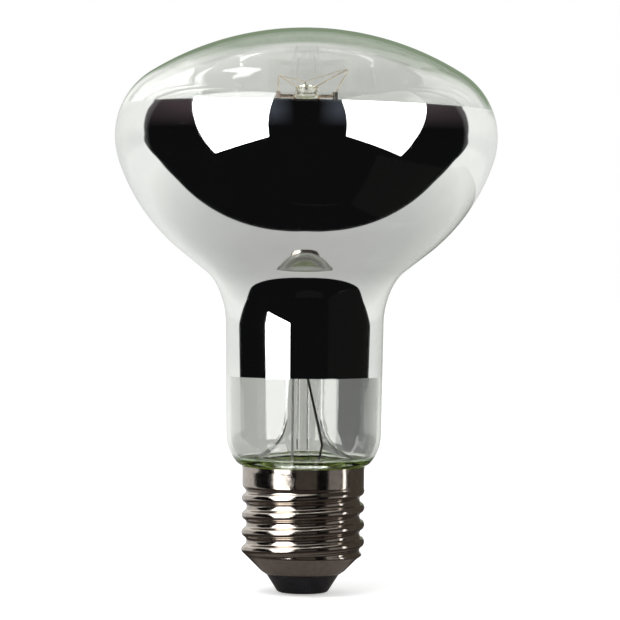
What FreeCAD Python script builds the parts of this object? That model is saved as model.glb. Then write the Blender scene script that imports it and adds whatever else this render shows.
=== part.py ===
import FreeCAD, Part
import math
import os

# Reflector lamp with a screw cap, standing cap down.
# The origin is on the lamp's axis at the crown of the solder on the centre contact. +Z points to the dome.
# All lengths are in millimetres and all angles in degrees.

# Rolled cap, from the contact upwards: a cone round the insulator, a round thread, a skirt and a rim
solder_height = 0.3
cone_turn_height = 5.0
cone_bend_radius = 3.0
cone_slope = 45.0
cone_width = 2.4
cap_mouth_width = 1.5
cap_mouth_slope = 57.0
cap_wall = 0.3
cone_step = 0.6
thread_pitch = 3.629
thread_root_radius = 12.05
thread_depth = 1.05
thread_length = 15.7
thread_crest_drop = 2.9
thread_runout = 1.7
thread_rows_per_turn = 8
thread_columns = 16
skirt_step = 0.93
skirt_length = 4.0
lip_flare = 0.14
lip_height = 0.9

# Black glass insulator, centre contact with its eyelet, and the solder
insulator_taper_width = 2.1
insulator_foot_fillet = 0.8
insulator_top_drop = 0.5
contact_margin = 0.7
contact_thickness = 0.5
eyelet_radius = 1.5
eyelet_wall = 0.6
eyelet_top_drop = 1.3
solder_crown_radius = 1.4
solder_lap = 0.7
solder_depth = 2.4

# Glass envelope, from its seal inside the cap up to the dome
envelope_wall = 0.75
seal_clearance = 1.48
seal_wall = 0.6
seal_depth_in_cap = 2.9
seal_thickness = 4.7
seal_floor_fillet = 1.1
seal_fillet = 1.2
seal_shelf_width = 1.16
rim_bend_radius = 2.2
rim_bend_slope = 75.0
neck_foot_rise = 6.7
neck_foot_radius = 9.6
neck_foot_turn = 38.0
neck_taper = 0.8
head_rise = 63.1
head_radius = 40.5
throat_lower_radius = 18.6
throat_lower_turn = 25.1
throat_upper_radius = 9.6
bowl_slope = 51.5
bowl_lower_radius = 41.4
bowl_upper_radius = 17.3
bowl_upper_turn = 19.2
shoulder_radius = 15.9
dome_radius = 62.2

# Mirror film inside the bowl and the upper neck. Its upper edge is a slightly tilted plane.
mirror_thickness = 0.12
mirror_top_rise = 5.8
mirror_top_tilt = 0.7
mirror_bottom_rise = 12.4

# Stem: a flared glass tube that is fused to the neck and pinched flat at its upper end
stem_radius = 4.3
stem_wall = 0.8
stem_rim_width = 1.1
flare_radius = 9.2
pinch_drop = 29.9
pinch_flat_length = 6.5
pinch_taper_length = 4.5
pinch_width = 9.4
pinch_thickness = 3.2
bore_end_length = 3.5
exhaust_radius = 1.6
exhaust_wall = 0.6
exhaust_tip_depth = 13.9

# Basing cement between the cap and the glass
cement_depth = 1.0
cement_lap = 0.7
cement_top_gap = 0.1

# Mount: glass rod with a button, lead wires, support wires and the filament
rod_radius = 1.3
button_rise = 8.3
button_height = 3.0
button_foot_radius = 2.8
button_top_radius = 2.3
button_round = 0.7
lead_radius = 0.35
lead_spread = 2.4
lead_seal_depth = 1.0
lead_arm_depth = 2.4
lead_arm_reach = 3.3
lead_end_reach = 0.4
lead_end_rise = 0.4
wire_bend_radius = 0.8
support_radius = 0.13
support_root_depth = 1.0
support_root_radius = 1.0
filament_radius = 0.2
filament_drop = 1.8
support_spots = [(-6.0, 3.6, 4.5), (-0.4, 6.2, 3.1), (9.2, 3.0, 6.6)]

# Lead wires inside the stem: one to the centre contact and one through the side of the cap
seal_wire_length = 8.4
cap_wire_radius = 0.25
centre_wire_turn_rise = 7.8
centre_wire_low_rise = 1.8
centre_wire_end_depth = 0.4
side_wire_front = (0.5, -2.7, -10.6)
side_wire_knee = (3.9, -1.0, 2.6)
side_wire_angle = 62.0
side_wire_turn_radius = 6.0
side_wire_depth = 3.4
side_solder_radius = 1.2
side_solder_rise = 0.6

# Radii that follow from the root of the thread
thread_crest_radius = thread_root_radius + thread_depth
skirt_radius = thread_root_radius + skirt_step
cone_top_radius = thread_root_radius - cone_step
cone_turn_radius = cone_top_radius - cone_width
cap_mouth_radius = cone_turn_radius - cap_mouth_width
insulator_foot_radius = cap_mouth_radius - insulator_taper_width
contact_radius = insulator_foot_radius - contact_margin
eyelet_bore_radius = eyelet_radius - eyelet_wall
solder_spread_radius = eyelet_radius + solder_lap
seal_outer_radius = skirt_radius - cap_wall - seal_clearance
seal_joint_radius = seal_outer_radius - seal_wall
stem_rim_radius = seal_joint_radius - stem_rim_width
cement_inner_radius = stem_rim_radius - cement_lap

# Heights that follow from the cap upwards
thread_bottom_height = cone_turn_height + cone_width * math.tan(math.radians(cone_slope))
thread_top_height = thread_bottom_height + thread_length
thread_left_crest_height = thread_top_height - thread_crest_drop
cap_rim_height = thread_top_height + skirt_length
insulator_top_height = thread_bottom_height - insulator_top_drop
eyelet_height = insulator_top_height - eyelet_top_drop
seal_bottom_height = cap_rim_height - seal_depth_in_cap
seal_floor_height = seal_bottom_height + seal_thickness
cement_bottom_height = seal_bottom_height - cement_depth
neck_foot_height = cap_rim_height + neck_foot_rise
widest_height = neck_foot_height + head_rise
mirror_top_height = widest_height + mirror_top_rise
mirror_bottom_height = neck_foot_height + mirror_bottom_rise
pinch_top_height = widest_height - pinch_drop
pinch_start_height = pinch_top_height - pinch_flat_length
pinch_bottom_height = pinch_start_height - pinch_taper_length
bore_end_height = pinch_bottom_height + bore_end_length
exhaust_tip_height = seal_floor_height - exhaust_tip_depth
button_bottom_height = widest_height + button_rise
button_top_height = button_bottom_height + button_height
lead_arm_height = button_top_height - lead_arm_depth
support_root_height = button_top_height - support_root_depth
filament_height = button_top_height - filament_drop
wire_joint_height = pinch_top_height - lead_seal_depth - seal_wire_length
side_wire_height = cap_rim_height - side_wire_depth


def on_axis(height):
    return FreeCAD.Vector(0, 0, height)


def cosine(angle):
    return math.cos(math.radians(angle))


def sine(angle):
    return math.sin(math.radians(angle))


def turned(section):
    """Turn a closed outline in the plane of radius and height once round the axis."""
    outline = Part.Wire(Part.__sortEdges__(section))
    return Part.Face(outline).revolve(on_axis(0), FreeCAD.Vector(0, 0, 1), 360)


def chain(points):
    return [Part.makeLine(a, b) for a, b in zip(points, points[1:])]


def spots(*corners):
    """Points of the section plane from pairs of radius and height."""
    return [FreeCAD.Vector(radius, 0, height) for radius, height in corners]


def polygon(*corners):
    points = spots(*corners)
    return chain(points + points[:1])


def ring(inner, outer, bottom, top):
    return turned(polygon((inner, bottom), (outer, bottom), (outer, top), (inner, top)))


def disc(radius, bottom, top):
    return Part.makeCylinder(radius, top - bottom, on_axis(bottom))


def round_row(radius, height):
    return Part.Wire([Part.Circle(on_axis(height), on_axis(1), radius).toShape()])


class Path:
    """A chain of tangent arcs and lines in the plane of radius and height.

    A heading of 0 runs outwards and -90 runs down. A positive inset moves the whole chain to the
    right of its travel, with every arc kept about its own centre.
    """

    def __init__(self, radius, height, heading, inset=0.0):
        self.heading = heading
        self.inset = inset
        self.point = FreeCAD.Vector(radius + inset * sine(heading), 0, height - inset * cosine(heading))
        self.edges = []

    def straight(self, length):
        end = self.point + FreeCAD.Vector(cosine(self.heading), 0, sine(self.heading)) * length
        self.edges.append(Part.makeLine(self.point, end))
        self.point = end
        return self

    def straight_to_height(self, height):
        return self.straight((height - self.point.z) / sine(self.heading))

    def straight_to_radius(self, radius):
        return self.straight((radius - self.point.x) / cosine(self.heading))

    def bend(self, radius, turn):
        """Arc that turns right when turn is positive and left when it is negative."""
        hand = 1 if turn > 0 else -1
        true_radius = radius - hand * self.inset
        inward = self.heading - 90 * hand
        centre = self.point + FreeCAD.Vector(cosine(inward), 0, sine(inward)) * true_radius

        def spot(share):
            angle = inward + 180 - turn * share
            return centre + FreeCAD.Vector(cosine(angle), 0, sine(angle)) * true_radius

        self.edges.append(Part.Arc(self.point, spot(0.5), spot(1)).toShape())
        self.point = spot(1)
        self.heading -= turn
        return self


def corner_arcs(points):
    """Start, middle and end of the arc that rounds each inner corner of a wire's route."""
    arcs = []
    for before, corner, after in zip(points, points[1:], points[2:]):
        back = (before - corner).normalize()
        ahead = (after - corner).normalize()
        half = back.getAngle(ahead) / 2
        trim = wire_bend_radius / math.tan(half)
        inwards = (back + ahead).normalize() * (wire_bend_radius / math.sin(half) - wire_bend_radius)
        arcs.append((corner + back * trim, corner + inwards, corner + ahead * trim))
    return arcs


def wire(points, radius):
    """Round wire along straight runs that are joined by tangent arcs."""
    edges = []
    start = points[0]
    for first, middle, last in corner_arcs(points):
        edges.append(Part.makeLine(start, first))
        edges.append(Part.Arc(first, middle, last).toShape())
        start = last
    edges.append(Part.makeLine(start, points[-1]))
    section = Part.Wire([Part.Circle(points[0], points[1] - points[0], radius).toShape()])
    return Part.Wire(edges).makePipeShell([section], True, False)


def dome_turn():
    """Angle at which the dome and the shoulder share a tangent."""
    return math.degrees(math.asin((head_radius - shoulder_radius) / (dome_radius - shoulder_radius)))


def apex_height():
    return widest_height + dome_radius - (dome_radius - shoulder_radius) * cosine(dome_turn())


def neck_foot():
    """Radius of the foot of the neck, from the seal outwards."""
    radius = seal_outer_radius + seal_fillet * (1 - cosine(rim_bend_slope)) + seal_shelf_width
    radius += rim_bend_radius * (cosine(neck_foot_turn) - cosine(rim_bend_slope))
    return radius + neck_foot_radius * (cosine(neck_taper) - cosine(neck_foot_turn))


def bowl_straight():
    """Length of the straight part of the bowl. It and the straight neck join the arcs to the foot of the neck."""
    across = head_radius - neck_foot() - bowl_upper_radius * (1 - cosine(bowl_upper_turn))
    across -= bowl_lower_radius * (cosine(bowl_upper_turn) - cosine(bowl_slope))
    across -= throat_upper_radius * (cosine(throat_lower_turn) - cosine(bowl_slope))
    across -= throat_lower_radius * (cosine(neck_taper) - cosine(throat_lower_turn))
    down = widest_height - neck_foot_height - bowl_upper_radius * sine(bowl_upper_turn)
    down -= bowl_lower_radius * (sine(bowl_slope) - sine(bowl_upper_turn))
    down -= throat_upper_radius * (sine(bowl_slope) - sine(throat_lower_turn))
    down -= throat_lower_radius * (sine(throat_lower_turn) - sine(neck_taper))
    return (across * cosine(neck_taper) - down * sine(neck_taper)) / sine(bowl_slope - neck_taper)


def glass_path(inset=0.0):
    """Outline of the envelope from the middle of the dome down to the foot of the neck."""
    path = Path(0, apex_height(), 0, inset)
    path.bend(dome_radius, dome_turn())
    path.bend(shoulder_radius, 90 - dome_turn())
    path.bend(bowl_upper_radius, bowl_upper_turn)
    path.bend(bowl_lower_radius, bowl_slope - bowl_upper_turn)
    path.straight(bowl_straight())
    path.bend(throat_upper_radius, throat_lower_turn - bowl_slope)
    path.bend(throat_lower_radius, neck_taper - throat_lower_turn)
    path.straight_to_height(neck_foot_height)
    return path


def envelope_outside():
    """Whole outer face, down past the cap's rim to the lower end of the seal."""
    path = glass_path()
    path.bend(neck_foot_radius, neck_foot_turn - neck_taper)
    path.bend(rim_bend_radius, rim_bend_slope - neck_foot_turn)
    path.straight(seal_shelf_width / sine(rim_bend_slope))
    path.bend(seal_fillet, -rim_bend_slope)
    path.straight_to_height(seal_bottom_height)
    return path


def trough_turn():
    """Turn of the inner foot arc that ends where the floor fillet takes over."""
    reach = neck_foot_radius - envelope_wall - seal_floor_fillet
    drop = glass_path(envelope_wall).point.z - seal_floor_height - seal_floor_fillet
    lead = (neck_foot_radius - envelope_wall) * sine(neck_taper)
    return math.degrees(math.asin((drop + lead) / reach)) - neck_taper


def envelope_inside():
    """Inner face of the envelope, down to the floor of the trough round the stem."""
    path = glass_path(envelope_wall)
    path.bend(neck_foot_radius, trough_turn())
    path.inset = 0
    path.bend(seal_floor_fillet, 90 - neck_taper - trough_turn())
    path.straight_to_radius(seal_joint_radius)
    return path


def envelope():
    outside = envelope_outside()
    inside = envelope_inside()
    foot = spots((outside.point.x, seal_bottom_height), (seal_joint_radius, seal_bottom_height))
    ends = chain(foot + [inside.point])
    ends += chain([on_axis(apex_height() - envelope_wall), on_axis(apex_height())])
    return turned(outside.edges + inside.edges + ends)


def mirror_coating():
    outer = glass_path(envelope_wall)
    inner = glass_path(envelope_wall + mirror_thickness)
    top = apex_height() - envelope_wall
    ends = chain([outer.point, inner.point]) + chain([on_axis(top), on_axis(top - mirror_thickness)])
    film = turned(outer.edges + inner.edges + ends)
    reach = 2 * head_radius
    above = Part.makeBox(2 * reach, 2 * reach, reach, FreeCAD.Vector(-reach, -reach, mirror_top_height))
    above.rotate(on_axis(mirror_top_height), FreeCAD.Vector(0, 1, 0), mirror_top_tilt)
    return film.common(disc(reach, mirror_bottom_height, apex_height()).cut(above)).Solids[0]


def flare_turn(run, radius):
    """Turn of an arc that starts upright and moves outwards by a run."""
    return math.degrees(math.acos(1 - run / radius))


def stem():
    """Flared tube, closed by a flat pinch that holds the lead wires and is open to the exhaust tube."""
    bore_radius = stem_radius - stem_wall
    turn = flare_turn(seal_joint_radius - stem_radius, flare_radius)
    start = seal_floor_height + flare_radius * sine(turn)
    upper = Path(stem_radius, start, -90).bend(flare_radius, -turn)
    under = Path(bore_radius, start, -90)
    under.bend(flare_radius + stem_wall, -flare_turn(stem_rim_radius - bore_radius, flare_radius + stem_wall))
    rim = spots((seal_joint_radius, seal_bottom_height), (stem_rim_radius, seal_bottom_height))
    tube = spots((stem_radius, start), (stem_radius, pinch_bottom_height))
    tube += spots((bore_radius, pinch_bottom_height), (bore_radius, start))
    flared = turned(upper.edges + under.edges + chain([upper.point] + rim + [under.point]) + chain(tube))
    flat = flat_outline(pinch_start_height)
    pinch = Part.makeLoft([round_row(stem_radius, pinch_bottom_height), flat], True, True)
    pinch = pinch.fuse(Part.Face(flat).extrude(on_axis(pinch_top_height - pinch_start_height)))
    bore_height = bore_end_height - pinch_bottom_height
    bore = Part.makeCone(bore_radius, exhaust_radius, bore_height, on_axis(pinch_bottom_height))
    return flared.fuse(pinch.cut(bore)).removeSplitter()


def flat_outline(height):
    """Long round-ended outline of the pinch, across the view from the front."""
    half = (pinch_width - pinch_thickness) / 2
    side = pinch_thickness / 2
    front_left, front_right = FreeCAD.Vector(-half, -side, height), FreeCAD.Vector(half, -side, height)
    back_left, back_right = FreeCAD.Vector(-half, side, height), FreeCAD.Vector(half, side, height)
    right = Part.Arc(front_right, FreeCAD.Vector(half + side, 0, height), back_right)
    left = Part.Arc(back_left, FreeCAD.Vector(-half - side, 0, height), front_left)
    front = Part.makeLine(front_left, front_right)
    back = Part.makeLine(back_right, back_left)
    return Part.Wire([front, right.toShape(), back, left.toShape()])


def exhaust_tube():
    """Thin tube that the lamp was pumped and filled through, sealed to a round tip."""
    outer = disc(exhaust_radius, exhaust_tip_height + exhaust_radius, bore_end_height)
    outer = outer.fuse(Part.makeSphere(exhaust_radius, on_axis(exhaust_tip_height + exhaust_radius)))
    bore_radius = exhaust_radius - exhaust_wall
    bore = disc(bore_radius, exhaust_tip_height + exhaust_radius, bore_end_height)
    bore = bore.fuse(Part.makeSphere(bore_radius, on_axis(exhaust_tip_height + exhaust_radius)))
    return outer.cut(bore).removeSplitter()


def glass_arbor():
    """Glass rod on the pinch, with the button that the support wires are set in."""
    section = polygon(
        (0, pinch_top_height),
        (rod_radius, pinch_top_height),
        (rod_radius, button_bottom_height),
        (button_foot_radius, button_bottom_height),
        (button_top_radius, button_top_height),
        (0, button_top_height),
    )
    rod = turned(section)
    circles = [edge for edge in rod.Edges if isinstance(edge.Curve, Part.Circle)]
    return rod.makeFillet(button_round, [edge for edge in circles if edge.Curve.Radius > rod_radius])


def lead_wire(side):
    """Nickel lead from the pinch, up through the button, out to its post at the filament's end."""
    turn = lead_spread + lead_arm_reach
    points = [
        FreeCAD.Vector(side * lead_spread, 0, pinch_top_height - lead_seal_depth),
        FreeCAD.Vector(side * lead_spread, 0, lead_arm_height),
        FreeCAD.Vector(side * turn, 0, lead_arm_height),
        FreeCAD.Vector(side * (turn + lead_end_reach), 0, filament_height + lead_end_rise),
    ]
    return wire(points, lead_radius)


def seal_wire(side):
    """Short wire that is sealed in the pinch between the inner lead and the wire to the cap."""
    foot = FreeCAD.Vector(side * lead_spread, 0, wire_joint_height)
    return Part.makeCylinder(lead_radius, pinch_top_height - lead_seal_depth - wire_joint_height, foot)


def centre_wire():
    points = [
        FreeCAD.Vector(-lead_spread, 0, wire_joint_height),
        FreeCAD.Vector(-lead_spread, 0, thread_bottom_height + centre_wire_turn_rise),
        on_axis(thread_bottom_height + centre_wire_low_rise),
        on_axis(solder_height + centre_wire_end_depth),
    ]
    return wire(points, cap_wire_radius)


def around(radius, angle, height):
    return FreeCAD.Vector(radius * cosine(angle), radius * sine(angle), height)


def side_wire():
    points = [
        FreeCAD.Vector(lead_spread, 0, wire_joint_height),
        FreeCAD.Vector(*side_wire_front) + on_axis(wire_joint_height),
        FreeCAD.Vector(*side_wire_knee) + on_axis(seal_floor_height),
        around(side_wire_turn_radius, side_wire_angle, side_wire_height),
        around(skirt_radius + side_solder_rise / 2, side_wire_angle, side_wire_height),
    ]
    return wire(points, cap_wire_radius)


def filament_route():
    end = lead_spread + lead_arm_reach + lead_end_reach
    left, right = (FreeCAD.Vector(side * end, 0, filament_height) for side in (-1, 1))
    return [left] + [FreeCAD.Vector(*spot) + on_axis(filament_height) for spot in support_spots] + [right]


def filament():
    """Coiled filament, drawn as the round outline of its coil, from lead to lead over its supports."""
    return wire(filament_route(), filament_radius)


def support_wires():
    """One wire from inside the button to each bend of the filament."""
    wires = []
    for first, middle, last in corner_arcs(filament_route()):
        outwards = FreeCAD.Vector(middle.x, middle.y, 0).normalize()
        wires.append(wire([on_axis(support_root_height) + outwards * support_root_radius, middle], support_radius))
    return wires


def thread_radius(rise):
    """Radius of the round thread at a height above a crest."""
    half = thread_pitch / 2
    depth = thread_crest_radius - thread_root_radius
    arc = ((half / 2) ** 2 + (depth / 2) ** 2) / depth
    from_crest = abs((rise + half) % thread_pitch - half)
    if from_crest < half / 2:
        return thread_crest_radius - arc + math.sqrt(arc**2 - from_crest**2)
    return thread_root_radius + arc - math.sqrt(arc**2 - (half - from_crest) ** 2)


def ease(share):
    share = min(max(share, 0.0), 1.0)
    return share * share * (3 - 2 * share)


def thread_row(height):
    """Level section of the threaded cap. The thread runs out into the skirt above and the cone below."""
    upper = ease((thread_top_height - height) / thread_runout)
    lower = ease((height - thread_bottom_height) / thread_runout)
    cone = cone_top_radius + (height - thread_bottom_height) * math.tan(math.radians(cone_slope))
    points = []
    for column in range(thread_columns):
        turn = column / thread_columns
        crest = thread_left_crest_height + thread_pitch * (turn - 0.5)
        radius = skirt_radius + (thread_radius(height - crest) - skirt_radius) * upper
        radius = cone + (radius - cone) * lower
        points.append(around(radius, 360 * turn, height))
    curve = Part.BSplineCurve()
    curve.interpolate(points, PeriodicFlag=True)
    return Part.Wire([curve.toShape()])


def threaded_core():
    """Solid inside the outer face of the thread, lofted through level rows."""
    span = thread_top_height - thread_bottom_height
    steps = round(span / thread_pitch * thread_rows_per_turn)
    rows = [thread_row(thread_bottom_height + span * step / steps) for step in range(1, steps)]
    first = round_row(cone_top_radius, thread_bottom_height)
    last = round_row(skirt_radius, thread_top_height)
    return Part.makeLoft([first] + rows + [last], True, True)


def cap_cone_path(inset=0.0):
    """Outline of the cap's cone, from the end of the thread to the mouth round the insulator."""
    path = Path(cone_top_radius, thread_bottom_height, -90 - cone_slope, inset)
    path.straight((cone_top_radius - cone_turn_radius) / sine(cone_slope))
    path.bend(cone_bend_radius, cap_mouth_slope - cone_slope)
    return path.straight_to_radius(cap_mouth_radius + inset * sine(path.heading))


def cap_outside():
    """Solid inside the whole outer face of the cap."""
    lip = spots((skirt_radius, thread_top_height), (skirt_radius, cap_rim_height - lip_height))
    lip += spots((skirt_radius + lip_flare, cap_rim_height))
    skirt = turned(chain([on_axis(thread_top_height)] + lip + [on_axis(cap_rim_height), on_axis(thread_top_height)]))
    path = cap_cone_path()
    ends = [path.point, on_axis(path.point.z), on_axis(thread_bottom_height)]
    cone = turned(path.edges + chain(ends + spots((cone_top_radius, thread_bottom_height))))
    return threaded_core().fuse([skirt, cone])


def cap_inside():
    """Hollow of the cap. Behind the thread it stays one wall under the root."""
    bore_radius = thread_root_radius - cap_wall
    skirt_bore = skirt_radius - cap_wall
    path = cap_cone_path(cap_wall)
    start = path.edges[0].Vertexes[0].Point
    cone_end = start.z + (bore_radius - start.x) / math.tan(math.radians(cone_slope))
    mouth = cap_cone_path().point
    top = cap_rim_height + lip_height
    corners = [start] + spots((bore_radius, cone_end), (bore_radius, thread_top_height - thread_runout))
    corners += spots((skirt_bore, thread_top_height), (skirt_bore, top), (0, top), (0, mouth.z))
    return turned(path.edges + chain(corners + [mouth, path.point]))


def cap_shell():
    inner_end = around(side_wire_turn_radius, side_wire_angle, side_wire_height)
    hole = wire([inner_end, inner_end + around(skirt_radius, side_wire_angle, 0)], cap_wire_radius)
    return cap_outside().cut([cap_inside(), hole]).removeSplitter()


def side_solder():
    """Bead of solder over the end of the side wire, on the outside of the skirt."""
    bulge = (side_solder_radius**2 + side_solder_rise**2) / (2 * side_solder_rise)
    centre = around(skirt_radius + side_solder_rise - bulge, side_wire_angle, side_wire_height)
    return Part.makeSphere(bulge, centre).cut([cap_outside(), side_wire()]).Solids[0]


def insulator():
    """Black glass that fills the cone of the cap and carries the contact."""
    cone = cap_cone_path(cap_wall)
    mouth = cone.point
    start = cone.edges[0].Vertexes[0].Point
    slope = math.degrees(math.atan((mouth.x - insulator_foot_radius) / (mouth.z - solder_height)))
    tangent = insulator_foot_fillet * math.tan(math.radians((90 - slope) / 2))
    foot = Path(contact_radius, solder_height, 0)
    foot.straight(insulator_foot_radius - contact_radius - tangent)
    foot.bend(insulator_foot_fillet, slope - 90)
    foot.straight_to_height(mouth.z)
    closing = chain([start, on_axis(start.z), on_axis(solder_height)] + spots((contact_radius, solder_height)))
    body = turned(foot.edges + cone.edges + closing).common(disc(skirt_radius, 0, insulator_top_height))
    recess = disc(contact_radius, solder_height, solder_height + contact_thickness)
    return body.cut([recess, disc(eyelet_radius, 0, insulator_top_height)])


def centre_contact():
    plate = ring(eyelet_bore_radius, contact_radius, solder_height, solder_height + contact_thickness)
    eyelet = ring(eyelet_bore_radius, eyelet_radius, solder_height, eyelet_height)
    return plate.fuse(eyelet).removeSplitter()


def contact_solder():
    """Solder that fills the eyelet and ends in a low blob with a flat crown."""
    section = polygon(
        (0, 0),
        (solder_crown_radius, 0),
        (solder_spread_radius, solder_height),
        (eyelet_bore_radius, solder_height),
        (eyelet_bore_radius, solder_height + solder_depth),
        (0, solder_height + solder_depth),
    )
    return turned(section)


def cement_blank():
    return ring(cement_inner_radius, skirt_radius, cement_bottom_height, cap_rim_height - cement_top_gap)


def build():
    """All pieces of the lamp. A piece that is set in another leaves its own shape in it."""
    coil = filament()
    leads = {"lead_left": lead_wire(-1).cut(coil), "lead_right": lead_wire(1).cut(coil)}
    seals = {"seal_wire_left": seal_wire(-1), "seal_wire_right": seal_wire(1)}
    supports = {f"support_{i + 1}": support.cut(coil) for i, support in enumerate(support_wires())}
    centre = centre_wire()
    side = side_wire().cut(seals["seal_wire_right"])
    glass = envelope()
    flare = stem().cut(list(leads.values()) + list(seals.values()) + [centre, side])
    pieces = {
        "envelope": glass,
        "mirror_coating": mirror_coating(),
        "stem": flare,
        "exhaust_tube": exhaust_tube(),
        "glass_arbor": glass_arbor().cut(list(leads.values()) + list(supports.values())),
        "filament": coil,
        "centre_wire": centre,
        "side_wire": side,
        "basing_cement": cement_blank().common(cap_inside()).cut([glass, flare, side]),
        "cap_shell": cap_shell(),
        "insulator": insulator(),
        "centre_contact": centre_contact(),
        "contact_solder": contact_solder().cut(centre),
        "side_solder": side_solder(),
    }
    return {**pieces, **leads, **seals, **supports}


os.makedirs("parts", exist_ok=True)
for name, shape in build().items():
    shape.exportStep(f"parts/{name}.step")
    print(name, shape.isValid(), len(shape.Solids), round(shape.Volume, 2))
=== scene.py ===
import math

import bmesh
import bpy
from mathutils import Matrix, Vector

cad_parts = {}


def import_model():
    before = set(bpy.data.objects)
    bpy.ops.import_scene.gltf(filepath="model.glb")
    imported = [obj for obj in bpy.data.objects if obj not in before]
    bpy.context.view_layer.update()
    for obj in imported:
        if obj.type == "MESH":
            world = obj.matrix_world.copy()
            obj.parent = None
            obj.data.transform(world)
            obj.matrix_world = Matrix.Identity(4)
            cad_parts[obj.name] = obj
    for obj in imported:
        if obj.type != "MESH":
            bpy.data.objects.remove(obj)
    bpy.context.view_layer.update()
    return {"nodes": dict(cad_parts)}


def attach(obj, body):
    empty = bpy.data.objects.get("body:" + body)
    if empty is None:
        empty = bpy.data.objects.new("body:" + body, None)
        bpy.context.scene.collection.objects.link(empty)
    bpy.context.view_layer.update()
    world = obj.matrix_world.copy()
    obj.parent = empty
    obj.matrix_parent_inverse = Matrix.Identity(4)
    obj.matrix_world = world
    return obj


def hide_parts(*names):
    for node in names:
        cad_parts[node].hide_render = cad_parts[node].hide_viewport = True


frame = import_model()
nodes = frame["nodes"]

# All sizes are in metres, with the lamp standing on its contact and its axis on Z.
MM = 0.001

# Glass envelope, from the middle of the dome down to the seal
HEAD_RADIUS = 40.5 * MM
WIDEST_HEIGHT = 96.9 * MM
DOME_RADIUS = 62.2 * MM
SHOULDER_RADIUS = 15.9 * MM
BOWL_SLOPE = 51.5
NECK_TAPER = 0.8
NECK_FOOT_HEIGHT = 33.8 * MM
RIM_BEND_SLOPE = 75.0
SEAL_FILLET = 1.2 * MM
SEAL_SHELF_WIDTH = 1.16 * MM
SEAL_OUTER_RADIUS = 11.2 * MM
SEAL_FLOOR_FILLET = 1.1 * MM
SEAL_FLOOR_HEIGHT = 28.9 * MM
SEAL_BOTTOM_HEIGHT = 24.2 * MM
SEAL_JOINT_RADIUS = 10.6 * MM
WALL = 0.75 * MM

# Mirror film
FILM_BEDDING = 0.008 * MM
FILM_THICKNESS = 0.02 * MM
FILM_TOP_HEIGHT = 102.7 * MM
FILM_TOP_TILT = 0.7
FILM_BOTTOM_HEIGHT = 46.2 * MM

# Rolled cap. Its thread has one start, and its highest crest on the left side is at LEFT_CREST_HEIGHT.
CAP_WALL = 0.3 * MM
CAP_RIM_HEIGHT = 27.1 * MM
SKIRT_RADIUS = 12.98 * MM
LIP_FLARE = 0.08 * MM
LIP_HEIGHT = 0.9 * MM
THREAD_PITCH = 3.629 * MM
CREST_RADIUS = 13.1 * MM
ROOT_RADIUS = 12.05 * MM
LEFT_CREST_HEIGHT = 20.2 * MM
THREAD_TOP = 23.1 * MM
THREAD_BOTTOM = 7.4 * MM
THREAD_RUNOUT = 1.7 * MM
CONE_TOP_RADIUS = 11.45 * MM
CONE_TURN_RADIUS = 9.05 * MM
CONE_SLOPE = 45.0
CONE_BEND_RADIUS = 3.0 * MM
MOUTH_RADIUS = 7.85 * MM
MOUTH_SLOPE = 57.0

# Black glass insulator in the cone of the cap
INSULATOR_TOP = 6.9 * MM
INSULATOR_BORE = 2.3 * MM
INSULATOR_LIP = 7.72 * MM
INSULATOR_GAP = 0.02 * MM
FOOT_RADIUS = 5.3 * MM
FOOT_FILLET = 0.8 * MM
CONTACT_RADIUS = 4.75 * MM
CONTACT_UNDERSIDE = 0.3 * MM
CONTACT_TOP = 0.8 * MM

# Cement between the cap and the glass
CEMENT_BOTTOM = 23.2 * MM
CEMENT_TOP = 27.0 * MM
CEMENT_INNER_RADIUS = 8.8 * MM
STEM_RIM_RADIUS = 9.5 * MM
CEMENT_CLEARANCE = 0.02 * MM
CEMENT_WETTING = 0.03 * MM
CEMENT_REACH = 12.9 * MM

# Sleeves on the ends of the leads
LEAD_END = (6.1 * MM, 0, 106.4 * MM)
CRIMP_OFFSET = 6.05 * MM
CRIMP_START = 1.5 * MM
CRIMP_RISES = (0, 0.08, 0.16, 0.9, 1.64, 1.72, 1.8)
CRIMP_RADIUS = 0.55 * MM
CRIMP_SIDES = 16

# Coiled filament, from the left lead over the three supports to the right lead
FILAMENT_CORNERS = [
    (-LEAD_END[0], 0, LEAD_END[2]),
    (-6.0 * MM, 3.6 * MM, 110.9 * MM),
    (-0.4 * MM, 6.2 * MM, 109.5 * MM),
    (9.2 * MM, 3.0 * MM, 113.0 * MM),
    LEAD_END,
]
FILAMENT_BEND = 0.8 * MM
COIL_RADIUS = 0.155 * MM
COIL_PITCH = 0.19 * MM
COIL_POINTS = 10
FILAMENT_WIRE_RADIUS = 0.04 * MM
FILAMENT_WIRE_SIDES = 5

# Mesh fineness, and the angle from which an edge is sharp
AROUND = 192
FILM_ROWS = 130
THREAD_ROWS = 170
SKIRT_ROWS = 10
FINE_STEP = 0.2 * MM
WELD = 0.0001 * MM
SHARP_ANGLE = math.radians(50)


def cosine(angle):
    return math.cos(math.radians(angle))


def sine(angle):
    return math.sin(math.radians(angle))


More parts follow.
